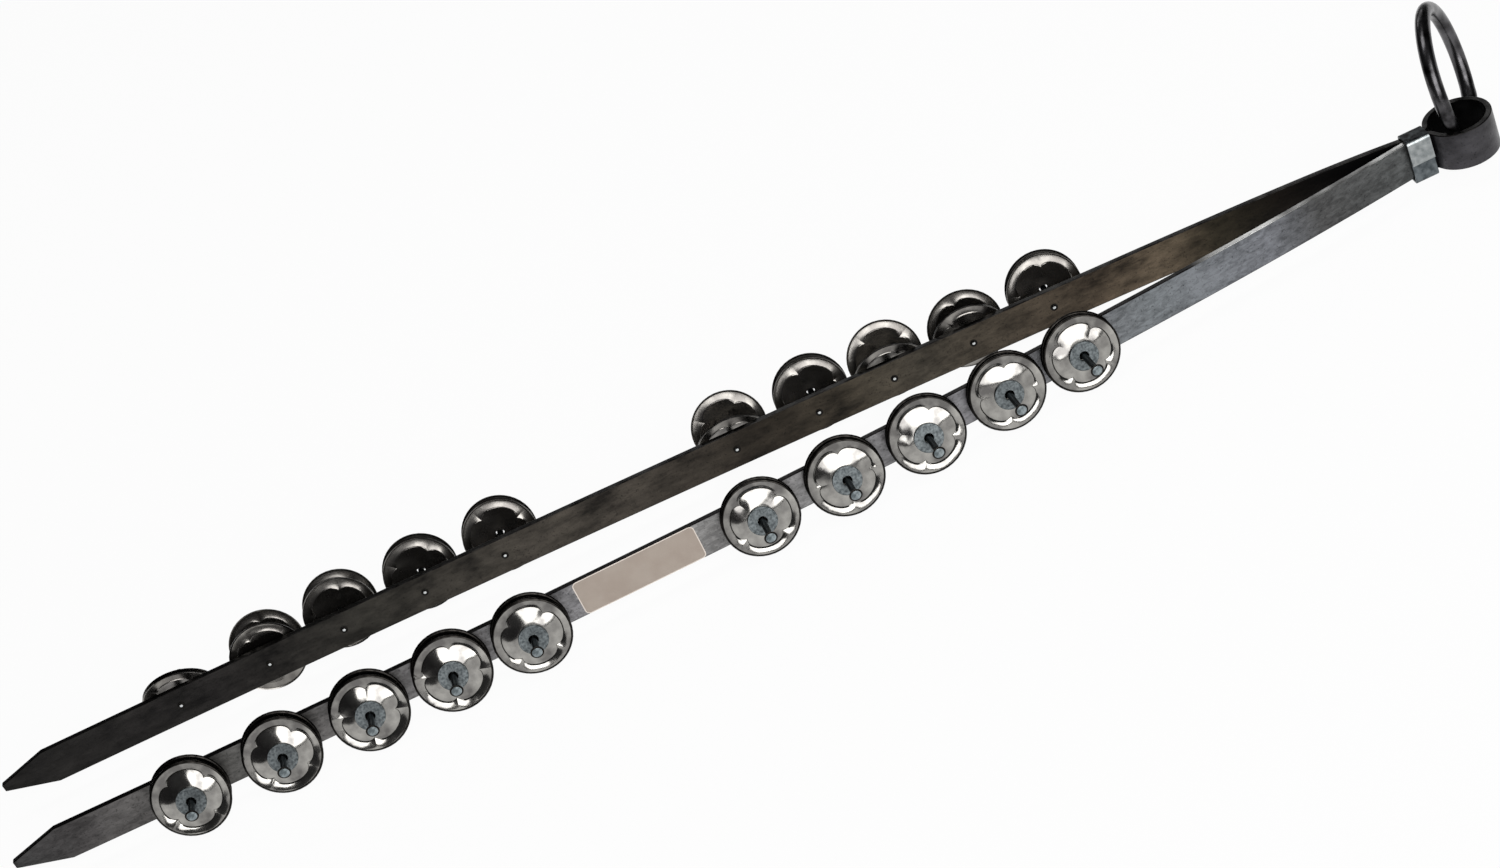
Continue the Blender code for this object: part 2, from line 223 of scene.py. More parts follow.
def hot_rolled_iron(name, shades, roughness, mottle, spread):
    """Flat bar as rolled: scale worn in streaks and patches, pitted, and coloured along x from listed
    shades: heat tint, and on the far arm painted shade going black towards the neck, between the arms.

    Mottle is the weight of the slanting marks, and spread how far the wear lightens and darkens the shades.
    """
    made, tree, shader = new_material(name)
    place = add_node(tree, "ShaderNodeTexCoord").outputs["Object"]
    along = add_node(tree, "ShaderNodeMapping", {"Vector": place, "Scale": (0.35, 1, 1)})
    streaks = add_node(
        tree,
        "ShaderNodeTexNoise",
        {"Vector": along.outputs[0], "Scale": per_metre(7), "Detail": 6, "Roughness": 0.62},
    )
    patches = add_node(
        tree, "ShaderNodeTexNoise", {"Vector": place, "Scale": per_metre(26), "Detail": 3}
    )
    slant = add_node(
        tree,
        "ShaderNodeMapping",
        {"Vector": place, "Rotation": (0, math.radians(52), 0), "Scale": (0.4, 1, 1)},
    )
    marks = add_node(
        tree,
        "ShaderNodeTexNoise",
        {
            "Vector": slant.outputs[0],
            "Scale": per_metre(2),
            "Detail": 4,
            "Roughness": 0.62,
            "Distortion": 0.6,
        },
    )
    pits = add_node(tree, "ShaderNodeTexNoise", {"Vector": place, "Scale": per_metre(1.1), "Detail": 2})
    worn = add_node(
        tree, "ShaderNodeMath", {0: streaks.outputs[0], 1: patches.outputs[0]}, operation="ADD"
    )
    worn = add_node(
        tree,
        "ShaderNodeMath",
        {0: marks.outputs[0], 1: mottle, 2: worn.outputs[0]},
        operation="MULTIPLY_ADD",
    )
    worn = add_node(
        tree,
        "ShaderNodeMapRange",
        {
            "Value": worn.outputs[0],
            "From Min": 0.7 + mottle / 2,
            "From Max": 1.3 + mottle / 2,
            "To Min": 1 - spread,
            "To Max": 1 + spread,
        },
    )
    length = add_node(tree, "ShaderNodeSeparateXYZ", {0: place})
    start, end = shades[0][0] * MM, shades[-1][0] * MM
    length = add_node(
        tree, "ShaderNodeMapRange", {"Value": length.outputs[0], "From Min": start, "From Max": end}
    )
    ramp = add_node(tree, "ShaderNodeValToRGB", {0: length.outputs[0]})
    stops = ramp.color_ramp.elements
    for x_mm, colour in shades[1:-1]:
        stops.new((x_mm * MM - start) / (end - start)).color = linear(colour)
    stops[0].color = linear(shades[0][1])
    stops[len(stops) - 1].color = linear(shades[-1][1])
    specks = add_node(
        tree,
        "ShaderNodeMapRange",
        {"Value": pits.outputs[0], "From Min": 0.6, "From Max": 0.72, "To Min": 1, "To Max": 0.5},
    )
    level = add_node(
        tree, "ShaderNodeMath", {0: worn.outputs[0], 1: specks.outputs[0]}, operation="MULTIPLY"
    )
    colour = add_node(
        tree,
        "ShaderNodeMix",
        {0: 1, 6: ramp.outputs[0], 7: level.outputs[0]},
        data_type="RGBA",
        blend_type="MULTIPLY",
    )
    rough = add_node(
        tree,
        "ShaderNodeMapRange",
        {"Value": streaks.outputs[0], "To Min": roughness + 0.14, "To Max": roughness - 0.12},
    )
    relief = add_node(
        tree,
        "ShaderNodeMath",
        {0: marks.outputs[0], 1: 1 + 2 * mottle, 2: pits.outputs[0]},
        operation="MULTIPLY_ADD",
    )
    bump = add_node(
        tree, "ShaderNodeBump", {"Height": relief.outputs[0], "Strength": 0.34, "Distance": 0.16 * MM}
    )
    tree.links.new(colour.outputs[2], shader.inputs["Base Color"])
    tree.links.new(rough.outputs[0], shader.inputs["Roughness"])
    tree.links.new(bump.outputs[0], shader.inputs["Normal"])
    shader.inputs["Metallic"].default_value = 0.85
    return made


def sheet_metal(name, dark, light, patch_mm, roughness, relief_mm, dents_mm=0, edge_light_and_shade=None):
    """Plated or bare steel with cloudy patches, a fine grain and the shallow dents of hand work.

    A painted highlight colour shows on its upward-facing sides, in patches, over the near arm's highlighted
    stretch.
    """
    made, tree, shader = new_material(name)
    place = add_node(tree, "ShaderNodeTexCoord").outputs["Object"]
    cloud = add_node(
        tree, "ShaderNodeTexNoise", {"Vector": place, "Scale": per_metre(patch_mm), "Detail": 5}
    )
    grain = add_node(tree, "ShaderNodeTexNoise", {"Vector": place, "Scale": per_metre(0.5), "Detail": 2})
    level = add_node(
        tree, "ShaderNodeMapRange", {"Value": cloud.outputs[0], "From Min": 0.36, "From Max": 0.66}
    )
    colour = add_node(
        tree,
        "ShaderNodeMix",
        {0: level.outputs[0], 6: linear(dark), 7: linear(light)},
        data_type="RGBA",
    )
    # Painted highlight: upward-facing sides turn to the given pale colour, in patches, over the highlighted
    # stretch
    if edge_light_and_shade:
        facing = add_node(tree, "ShaderNodeNewGeometry")
        facing = add_node(tree, "ShaderNodeSeparateXYZ", {0: facing.outputs["Normal"]})
        highlight_patches = add_node(
            tree, "ShaderNodeTexNoise", {"Vector": place, "Scale": per_metre(45), "Detail": 2}
        )
        highlight_patches = add_node(
            tree, "ShaderNodeMapRange", {"Value": highlight_patches.outputs[0], "From Min": 0.38, "From Max": 0.56}
        )
        highlight_stretch = add_node(tree, "ShaderNodeSeparateXYZ", {0: place})
        highlight_stretch = add_node(
            tree,
            "ShaderNodeMapRange",
            {"Value": highlight_stretch.outputs[0], "From Min": HIGHLIGHT_FROM, "From Max": HIGHLIGHT_TO},
        )
        highlight_patches = add_node(
            tree, "ShaderNodeMath", {0: highlight_patches.outputs[0], 1: highlight_stretch.outputs[0]}, operation="MULTIPLY"
        )
        upper = add_node(
            tree,
            "ShaderNodeMath",
            {0: facing.outputs[2], 1: highlight_patches.outputs[0]},
            operation="MULTIPLY",
            use_clamp=True,
        )
        colour = add_node(
            tree,
            "ShaderNodeMix",
            {0: upper.outputs[0], 6: colour.outputs[2], 7: linear(edge_light_and_shade)},
            data_type="RGBA",
        )
    rough = add_node(
        tree,
        "ShaderNodeMapRange",
        {"Value": cloud.outputs[0], "To Min": roughness * 1.3, "To Max": roughness * 0.7},
    )
    dents = add_node(tree, "ShaderNodeTexNoise", {"Vector": place, "Scale": per_metre(9), "Detail": 1})
    dents = add_node(tree, "ShaderNodeMath", {0: dents.outputs[0], 1: dents_mm}, operation="MULTIPLY")
    height = add_node(
        tree,
        "ShaderNodeMath",
        {0: grain.outputs[0], 1: relief_mm * 0.3, 2: dents.outputs[0]},
        operation="MULTIPLY_ADD",
    )
    bump = add_node(tree, "ShaderNodeBump", {"Height": height.outputs[0], "Distance": MM})
    tree.links.new(colour.outputs[2], shader.inputs["Base Color"])
    tree.links.new(rough.outputs[0], shader.inputs["Roughness"])
    tree.links.new(bump.outputs[0], shader.inputs["Normal"])
    shader.inputs["Metallic"].default_value = 1
    return made


def coated_paper(name, dark, light):
    """Label stock: cloudy with handling, finely fibrous, and with the faint gloss of a paper sticker."""
    made, tree, shader = new_material(name)
    place = add_node(tree, "ShaderNodeTexCoord").outputs["Object"]
    cloud = add_node(tree, "ShaderNodeTexNoise", {"Vector": place, "Scale": per_metre(9), "Detail": 4})
    fibres = add_node(
        tree, "ShaderNodeTexNoise", {"Vector": place, "Scale": per_metre(0.7), "Detail": 3}
    )
    level = add_node(
        tree, "ShaderNodeMapRange", {"Value": cloud.outputs[0], "From Min": 0.35, "From Max": 0.65}
    )
    colour = add_node(
        tree,
        "ShaderNodeMix",
        {0: level.outputs[0], 6: linear(dark), 7: linear(light)},
        data_type="RGBA",
    )
    rough = add_node(
        tree, "ShaderNodeMapRange", {"Value": cloud.outputs[0], "To Min": 0.65, "To Max": 0.45}
    )
    bump = add_node(
        tree, "ShaderNodeBump", {"Height": fibres.outputs[0], "Strength": 0.4, "Distance": 0.06 * MM}
    )
    tree.links.new(colour.outputs[2], shader.inputs["Base Color"])
    tree.links.new(rough.outputs[0], shader.inputs["Roughness"])
    tree.links.new(bump.outputs[0], shader.inputs["Normal"])
    shader.inputs["Specular IOR Level"].default_value = 0.3
    return made


# Shades of the iron, as x in millimetres (the tips are at -763 and the neck at 0) and colour; on the far
# arm the browns are heat tint, and the near-black towards the neck is painted shade in the gap between the
# arms
NEAR_SHADES = (
    (-763, "#3a3a3a"),
    (-722, "#424040"),
    (-690, "#5a5857"),
    (-640, "#595856"),
    (-590, "#686665"),
    (-460, "#868587"),
    (-385, "#8a8988"),
    (-250, "#7b7a7d"),
    (-150, "#6b6f72"),
    (-86, "#6f7176"),
    (-58, "#4c4c4c"),
    (0, "#535555"),
)
FAR_SHADES = (
    (-763, "#1d1c1b"),
    (-640, "#262423"),
    (-560, "#2f2d29"),
    (-430, "#443f39"),
    (-345, "#2b2620"),
    (-300, "#3f3930"),
    (-260, "#464139"),
    (-165, "#4b4136"),
    (-135, "#65594a"),
    # From here to the neck the far arm darkens to black: painted shade between the arms
    (-103, "#322d23"),
    (-70, "#17130f"),
    (-30, "#0b0a0a"),
)
NEAR_IRON = hot_rolled_iron("hot_rolled_iron_near", NEAR_SHADES, 0.42, 1.5, 0.39)
FAR_IRON = hot_rolled_iron("hot_rolled_iron_far", FAR_SHADES, 0.45, 0.5, 0.75)
EYE_IRON = hot_rolled_iron("hot_rolled_iron_eye", ((0, "#333235"), (40, "#3d3c3e")), 0.36, 0.3, 0.6)
# Painted shade: the bevelled edges and thin rim faces of the far arm and the eye are near-black
DARK_EDGE = sheet_metal("painted_shade_iron_edge", "#0e0d0d", "#2c2b2a", 7, 0.36, 0.03)
# Lit and shaded copies of the band's zinc: the outer flap is painted lighter and the rest of the wrap
# darker
LIT_ZINC_FLAP = sheet_metal("lit_galvanised_flap", "#7d8283", "#a4a8a8", 3, 0.34, 0.05)
SHADED_ZINC_WRAP = sheet_metal("shaded_galvanised_wrap", "#454b4e", "#6c7275", 3, 0.42, 0.05)
# Painted shade on the near arm's edges, near-black, with a painted highlight on their upper sides near the
# neck
EDGE_SHADE_AND_HIGHLIGHT = sheet_metal("painted_shade_and_highlight_iron_edge", "#0b0a0a", "#201f1f", 7, 0.34, 0.03, edge_light_and_shade="#e4e4e2")
# Painted shade: the top of the band, dark where it faces up
BAND_TOP_SHADE = sheet_metal("painted_shade_band_top", "#191a1b", "#43484a", 3, 0.42, 0.05)
# Painted shade: the inside of the eye, near-black
EYE_INSIDE_SHADE = sheet_metal("painted_shade_eye_inside", "#060606", "#141414", 6, 0.6, 0.05)
RING_STEEL = sheet_metal("drawn_steel_rod", "#1c1b1c", "#5d5c5e", 9, 0.26, 0.03)
NICKEL = sheet_metal("nickel_plate", "#6c6a68", "#adaba6", 11, 0.13, 0.004, 0.36)
NICKEL_BACK = sheet_metal("unpolished_jingle_back", "#6a6764", "#95928d", 8, 0.25, 0.006, 0.2)
# Painted shade: near-black for the jingles' valley line and edges, and for the nails' head sides and peen
# rings
RIM_AND_CREASE_SHADE = sheet_metal("painted_shade_rims_and_creases", "#121110", "#2b2927", 3, 0.3, 0.02)
ZINC = sheet_metal("zinc_washer", "#494e50", "#7a8082", 1.2, 0.42, 0.05)
NAIL_STEEL = sheet_metal("wire_nail_steel", "#2a2d2f", "#4d5254", 3, 0.34, 0.03)
NAIL_HEAD = sheet_metal("wire_nail_head", "#5f676a", "#9aa3a6", 2, 0.24, 0.05)
# Painted highlight: the bright dot in the middle of each peened nail end
PEEN_HIGHLIGHT = sheet_metal("painted_highlight_nail_end", "#c5c9c9", "#e6e8e8", 2, 0.3, 0.03)
LABEL_FACE = coated_paper("beige_label_paper", "#978b81", "#9d9288")
LABEL_MARGIN = coated_paper("pale_label_margin", "#cfc5bb", "#dad1c8")


def finish_mesh(bm, name, sharp_degrees=40):
    bmesh.ops.recalc_face_normals(bm, faces=bm.faces)
    mesh = bpy.data.meshes.new(name)
    bm.to_mesh(mesh)
    bm.free()
    mesh.shade_smooth()
    mesh.set_sharp_from_angle(angle=math.radians(sharp_degrees))
    return mesh


def add_piece(name, mesh, materials):
    for finish in materials:
        if finish.name not in mesh.materials:
            mesh.materials.append(finish)
    made = bpy.data.objects.new(name, mesh)
    bpy.context.scene.collection.objects.link(made)
    return made


def turned(name, profile, sides):
    """A mesh turned about Z from a closed loop of (radius, height) points."""
    bm = bmesh.new()
    corners = [bm.verts.new((radius, 0, height)) for radius, height in profile]
    edges = [bm.edges.new(pair) for pair in zip(corners, corners[1:] + corners[:1])]
    bmesh.ops.spin(
        bm, geom=corners + edges, cent=(0, 0, 0), axis=UP, angle=2 * math.pi, steps=sides, use_merge=True
    )
    bmesh.ops.remove_doubles(bm, verts=bm.verts, dist=1e-6)
    loose = [edge for edge in bm.edges if not edge.link_faces]
    bmesh.ops.delete(bm, geom=loose, context="EDGES")
    return finish_mesh(bm, name)


def bar(name, path, half_widths, materials):
    """Flat bar standing on edge along a plan path, with bevelled edges in a finish of their own: painted
    shade, and on the near arm a painted highlight along the top.
    """
    bm = bmesh.new()
    rows = []
    for point, half in zip(path, half_widths):
        foot = Vector((point[0], point[1], NAIL_LEVEL))
        rows.append([bm.verts.new(foot + UP * height) for height in (-half, half)])
    for (low, high), (next_low, next_high) in zip(rows, rows[1:]):
        bm.faces.new((low, next_low, next_high, high))
    made = add_piece(name, finish_mesh(bm, name), materials)
    shell = made.modifiers.new("Thickness", "SOLIDIFY")
    shell.thickness = BAR_THICKNESS
    shell.offset = 0
    shell.use_even_offset = True
    shell.material_offset_rim = 1
    edge_light_and_shade = made.modifiers.new("Edges of painted light and shade", "BEVEL")
    edge_light_and_shade.width = WORN_EDGE
    edge_light_and_shade.segments = 2
    edge_light_and_shade.limit_method = "ANGLE"
    edge_light_and_shade.angle_limit = math.radians(50)
    edge_light_and_shade.material = 1
    edge_light_and_shade.harden_normals = True
    return made


def arm_point(arm, distance):
    flare = arm["flare"] * arm["fade"] * (1 - math.exp(-distance / arm["fade"]))
    toe = arm["toe"] * (distance / TOE_SPAN) ** 2
    offset = ARM_MIDDLE + arm["lean"] * distance + flare - toe
    return Vector((-BAND_LENGTH / 2 - distance, arm["side"] * offset, NAIL_LEVEL))


def make_arms():
    for name, arm in ARMS.items():
        shoulder = arm["reach"] - TIP_LENGTH
        shares = [(step / ARM_STEPS) ** ARM_STEP_GROWTH for step in range(ARM_STEPS + 1)]
        distances = [shoulder * share for share in shares] + [arm["reach"]]
        path = [Vector((-SPLIT_GAP / 2, arm["side"] * ARM_MIDDLE))]
        path += [arm_point(arm, distance).xy for distance in distances]
        half_widths = [BAR_WIDTH / 2] * (len(path) - 1) + [TIP_WIDTH / 2]
        iron = NEAR_IRON if name == "near" else FAR_IRON
        # The bar edges are painted near-black as shade, and the near arm's upper edge also carries a
        # painted highlight
        edge = EDGE_SHADE_AND_HIGHLIGHT if name == "near" else DARK_EDGE
        made = bar(f"{name}_bar", path, half_widths, [iron, edge])
        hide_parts(f"{name}_arm")
        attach(made, f"{name}_arm")


def make_eye():
    """The folded end: legs in the band, a small bend each side and the round eye."""
    low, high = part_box("bow_eye")
    radius = (high.y - low.y) / 2 - BAR_THICKNESS / 2
    centre = high.x - BAR_THICKNESS / 2 - radius
    bend = Vector((BEND_START, ARM_MIDDLE + EYE_NECK_BEND))
    sweep = math.asin(bend.y / (radius + EYE_NECK_BEND))
    half = [Vector((SPLIT_GAP / 2, ARM_MIDDLE))]
    for step in range(9):
        angle = -math.pi / 2 + (math.pi / 2 - sweep) * step / 8
        half.append(bend + EYE_NECK_BEND * Vector((math.cos(angle), math.sin(angle))))
    start = math.pi - sweep
    rim = []
    for step in range(1, 72):
        angle = start - 2 * start * step / 72
        rim.append(Vector((centre + radius * math.cos(angle), radius * math.sin(angle))))
    path = half + rim + [Vector((point.x, -point.y)) for point in reversed(half)]
    made = bar("folded_eye", path, [BAR_WIDTH / 2] * len(path), [EYE_IRON, DARK_EDGE, EYE_INSIDE_SHADE])
    # The inside of the eye takes the near-black painted shade, and its rim edges the dark painted edge
    made.modifiers["Thickness"].material_offset = 2
    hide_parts("bow_eye")
    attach(made, "neck")


def strip(name, path, half_length, thickness, edge, materials):
    """Sheet bent along a path of (across, height) points, with rounded edges."""
    bm = bmesh.new()
    rows = []
    for across, height in path:
        level = NAIL_LEVEL + height
        rows.append([bm.verts.new((x, across, level)) for x in (-half_length, half_length)])
    for (left, right), (next_left, next_right) in zip(rows, rows[1:]):
        bm.faces.new((left, right, next_right, next_left))
    made = add_piece(name, finish_mesh(bm, name, 60), materials)
    shell = made.modifiers.new("Thickness", "SOLIDIFY")
    shell.thickness = thickness
    shell.offset = 0
    cut = made.modifiers.new("Cut edges", "BEVEL")
    cut.width = edge
    cut.segments = 2
    cut.limit_method = "ANGLE"
    cut.angle_limit = math.radians(50)
    cut.harden_normals = True
    return made


def make_band():
    """The sheet wrap, from its lap on the near side, under, up, over, and down as the outer flap."""
    wall = ARM_SPACING / 2 + BAR_THICKNESS + BAND_SLACK + BAND_THICKNESS / 2
    reach = BAR_WIDTH / 2 + BAND_SLACK + BAND_THICKNESS / 2
    flap = wall + BAND_THICKNESS + LAP_GAP
    foot = -reach - BAND_DROP
    corners = [(-wall, BAND_LAP / 2), (-wall, foot), (wall, foot), (wall, reach), (-flap, reach)]
    corners = [Vector(corner) for corner in corners + [(-flap, -BAND_LAP / 2)]]
    path = [corners[0]]
    for before, corner, after in zip(corners, corners[1:], corners[2:]):
        back, onward = (before - corner).normalized(), (after - corner).normalized()
        for step in range(9):
            turn = math.pi / 2 * step / 8
            bend = (1 - math.cos(turn)) * onward + (1 - math.sin(turn)) * back
            path.append(corner + bend * BAND_CORNER)
    path.append(corners[-1])
    # Painted light and shade: the outer flap is a lighter copy of the zinc, and the rest of the wrap a
    # darker one
    finishes = [SHADED_ZINC_WRAP, LIT_ZINC_FLAP, BAND_TOP_SHADE]
    made = strip("wrapped_band", path, BAND_LENGTH / 2, BAND_THICKNESS, BAND_EDGE, finishes)
    for face in made.data.polygons:
        on_flap = face.center.y < -wall - BAND_THICKNESS / 2
        # Upward faces of the top take the painted shade
        face.material_index = 2 if face.normal.z > 0.8 else int(on_flap)
    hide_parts("neck_band")
    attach(made, "neck")


def make_sticker():
    """Blank label with rounded corners and a pale margin on the near arm's outer face."""
    arm = ARMS["near"]
    for name, inset, proud, finish in (
        ("label_margin", 0, STICKER_PROUD, LABEL_MARGIN),
        ("label_face", STICKER_MARGIN, STICKER_FACE_PROUD, LABEL_FACE),
    ):
        bm = bmesh.new()
        rows = []
        start, end = STICKER_FROM + inset, STICKER_TO - inset
        corner = STICKER_CORNER - inset
        for step in range(STICKER_STEPS + 1):
            along = step / STICKER_STEPS
            distance = start + (end - start) * (3 * along**2 - 2 * along**3)
            to_end = min(distance - start, end - distance)
            cut = corner - math.sqrt(max(corner**2 - max(corner - to_end, 0) ** 2, 0))
            half = STICKER_WIDTH / 2 - inset - cut
            here, ahead = arm_point(arm, distance), arm_point(arm, distance + MM)
            tipwards = (ahead - here).normalized()
            face = here - UP.cross(tipwards) * arm["side"] * (BAR_THICKNESS / 2 + proud)
            rows.append([bm.verts.new(face + UP * height) for height in (-half, half)])
        for (low, high), (next_low, next_high) in zip(rows, rows[1:]):
            bm.faces.new((low, next_low, next_high, high))
        made = add_piece(name, finish_mesh(bm, name), [finish])
        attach(made, "near_arm")


def disc_axes(node_name, outward):
    """Hub centre and axes of a jingle in the frame: Z along its dome and X through a crimp."""
    corners = [corner.co.copy() for corner in nodes[node_name].data.vertices]
    middle = sum(corners, Vector()) / len(corners)
    spread = Matrix(((0, 0, 0), (0, 0, 0), (0, 0, 0)))
    for corner in corners:
        arm = corner - middle
        spread += Matrix([arm * component for component in arm])
    # The disc is thin, so repeated use of the inverse spread settles on its axis
    axis = outward.copy()
    for _ in range(20):
        axis = (spread.inverted() @ axis).normalized()
    if axis.dot(outward) < 0:
        axis = -axis
    radial = [(corner - middle) - axis * (corner - middle).dot(axis) for corner in corners]
    crimp = min(radial, key=lambda spoke: abs(spoke.length - CRIMP_RADIUS))
    across = crimp.normalized()
    edge = [corner for corner, spoke in zip(corners, radial) if spoke.length > JINGLE_RADIUS * 0.97]
    rim_top = max((corner - middle).dot(axis) for corner in edge)
    hub = middle + axis * (rim_top - RIM_LEVEL)
    return hub, Matrix((across, axis.cross(across), axis)).transposed()


def jingle_height(radius, pinch, lobe):
    """Height of a jingle's outer face at a radius, where a pinch draws in the valley and lobes the dome."""
    reach = min((radius - HUB_RADIUS) / (VALLEY_RADIUS - HUB_RADIUS), 1)
    valley = VALLEY_RADIUS - pinch
    if radius <= valley:
        fall = (radius - HUB_RADIUS) / (VALLEY_RADIUS - pinch * reach**2 - HUB_RADIUS)
        fall = max(fall, 0)
        return -DISH_DEPTH * fall**DOME_POWER - LOBE_HEIGHT * lobe * math.sin(math.pi * fall) ** 2
    if radius <= CREST_RADIUS:
        share = (radius - valley) / (CREST_RADIUS - valley)
        step = STEP_SHARE * (1 - math.exp(-share / STEP_REACH))
        return -DISH_DEPTH + CREST_RISE * ((1 - STEP_SHARE) * share + step)
    share = (radius - CREST_RADIUS) / (JINGLE_RADIUS - CREST_RADIUS)
    return CREST_RISE - DISH_DEPTH - EDGE_DROP * share**EDGE_POWER


def jingle_mesh():
    """The pressed disc, dull behind, with painted shade on the row beside the valley line and on the edge
    rows, and mesh lines that follow the four-lobed valley and its pinches.
    """
    bm = bmesh.new()
    columns = []
    for step in range(CRIMPS * STEPS_PER_CRIMP):
        crimp, within = divmod(step, STEPS_PER_CRIMP)
        way = 2 * within / STEPS_PER_CRIMP - 1
        off = math.copysign(abs(way) ** CRIMP_CROWDING, way) * math.pi / CRIMPS
        angle = 2 * math.pi * crimp / CRIMPS + off
        pinch = PINCH_INSET * math.exp(-abs(off) / PINCH_SPREAD)
        valley = VALLEY_RADIUS - pinch
        radii = [JINGLE_HOLE, HUB_RING, HUB_RADIUS]
        radii += [HUB_RADIUS + (valley - HUB_RADIUS) * share for share in (0.2, 0.4, 0.6, 0.8, 0.96, 1)]
        radii += [valley + (CREST_RADIUS - valley) * share for share in (0.06, 0.16, 0.55)]
        radii += [CREST_RADIUS + (JINGLE_RADIUS - CREST_RADIUS) * share for share in (0, 0.3, 0.6, 1)]
        ray = Vector((math.cos(angle), math.sin(angle), 0))
        lobe = math.cos(CRIMPS * off)
        top = [ray * radius + UP * jingle_height(radius, pinch, lobe) for radius in radii]
        under = [point - UP * JINGLE_SHEET for point in reversed(top)]
        columns.append([bm.verts.new(point) for point in top + under])
    front = len(columns[0]) // 2 - 1
    for column, following in zip(columns, columns[1:] + columns[:1]):
        loop = list(zip(column, following))
        for row, ((a, b), (d, c)) in enumerate(zip(loop, loop[1:] + loop[:1])):
            # The valley row and the edge rows take painted shade
            shaded_row = row == VALLEY_ROW or front - EDGE_ROWS <= row <= front
            bm.faces.new((a, b, c, d)).material_index = 2 if shaded_row else int(row > front)
    return finish_mesh(bm, "pressed_jingle", 60)


def nail_mesh():
    """Wire nail from its peened end, through the bar, to its domed head."""
    top = NAIL_STAND
    back = -BAR_THICKNESS
    profile = [(0, top), (HEAD_RADIUS * 0.5, top - HEAD_HEIGHT * 0.05)]
    profile += [(HEAD_RADIUS * 0.75, top - HEAD_HEIGHT * 0.2), (HEAD_RADIUS, top - HEAD_HEIGHT * 0.42)]
    profile += [(HEAD_RADIUS * 0.98, top - HEAD_HEIGHT * 0.5), (NAIL_RADIUS, top - HEAD_HEIGHT)]
    profile += [(NAIL_RADIUS, back * 0.7), (PEEN_RADIUS, back * 0.9)]
    profile += [(PEEN_RADIUS, back - PEEN_HEIGHT * 0.5), (PEEN_RADIUS * 0.62, back - PEEN_HEIGHT * 0.5)]
    profile += [(PEEN_RADIUS * 0.4, back - PEEN_HEIGHT * 0.9), (0, back - PEEN_HEIGHT)]
    made = turned("wire_nail", profile, 24)
    # Painted light: the head's side and the outer ring of the peened end take painted shade, and the middle
    # of the peened end a painted highlight
    for face in made.polygons:
        height, reach = face.center.z, face.center.xy.length
        if height > top - HEAD_HEIGHT:
            face.material_index = 1 if height > top - HEAD_HEIGHT * 0.25 else 3
        elif height < back:
            face.material_index = 2 if reach < PEEN_RADIUS * 0.45 else 3
    return made


def washer_mesh():
    """A stamped washer with its upper edges broken."""
    shoulder = WASHER_THICKNESS - WASHER_EDGE
    profile = [(WASHER_HOLE, 0), (WASHER_RADIUS, 0), (WASHER_RADIUS, shoulder)]
    profile += [(WASHER_RADIUS - WASHER_EDGE, WASHER_THICKNESS)]
    profile += [(WASHER_HOLE + WASHER_EDGE, WASHER_THICKNESS), (WASHER_HOLE, shoulder)]
    return turned("zinc_washer", profile, 48)


def placed(made, place, axes):
    """Turns a copy of the mesh and moves the piece, so that its own box stays square to the frame."""
    made.data = made.data.copy()
    made.data.transform(axes.to_4x4())
    made.location = place
    return made


def make_nail_sets():
    """On every nail of the frame: the nail, its two jingles and its washer."""
    pressed, wire, ring = jingle_mesh(), nail_mesh(), washer_mesh()
    nail_finishes = [NAIL_STEEL, NAIL_HEAD, PEEN_HIGHLIGHT, RIM_AND_CREASE_SHADE]
    disc_finishes = [NICKEL, NICKEL_BACK, RIM_AND_CREASE_SHADE]
    for arm_name, arm in ARMS.items():
        for number in range(1, NAILS_PER_ARM + 1):
            stem = f"{arm_name}_jingle_{number:02d}"
            outward = slide_axes[f"{stem}_outer"]
            hub, axes = disc_axes(f"{stem}_outer", outward)
            face = Vector((hub.x, hub.y, NAIL_LEVEL))
            distance = -BAND_LENGTH / 2 - face.x
            tipwards = arm["side"] * UP.cross(outward)
            for _ in range(8):
                on_arm = arm_point(arm, distance)
                distance -= (on_arm - face).dot(tipwards)
            base = on_arm + outward * BAR_THICKNESS / 2
            nail = add_piece(f"{arm_name}_nail_{number:02d}", wire, nail_finishes)
            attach(placed(nail, base, outward.to_track_quat("Z", "Y").to_matrix()), f"{arm_name}_arm")
            for side in ("inner", "outer"):
                hub, axes = disc_axes(f"{stem}_{side}", outward)
                disc = add_piece(f"{stem}_{side}_pressed", pressed, disc_finishes)
                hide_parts(f"{stem}_{side}")
                seen = arm_name == "near" and side == "outer"
                turn = NEAR_CRIMP_TURNS[number - 1] if seen else 0
                placed(disc, hub, axes @ Matrix.Rotation(math.radians(turn), 3, "Z"))
                lowest = min(corner.co.z for corner in disc.data.vertices)
                disc.location.z = max(hub.z, cad_box[0][2] - lowest)
                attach(disc, f"{stem}_{side}")
            # The near washers lie loose on their jingles, and the far ones are pressed on
            lift = (hub - base).dot(axes.col[2]) + (SEAT_GAP if arm_name == "near" else -SEAT_GAP)
            seat = base + outward * lift / outward.dot(axes.col[2])
            washer = add_piece(f"{arm_name}_washer_{number:02d}_turned", ring, [ZINC])
            if arm_name == "near":
                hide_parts(f"near_washer_{number:02d}")
            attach(placed(washer, seat, axes), f"{stem}_outer")


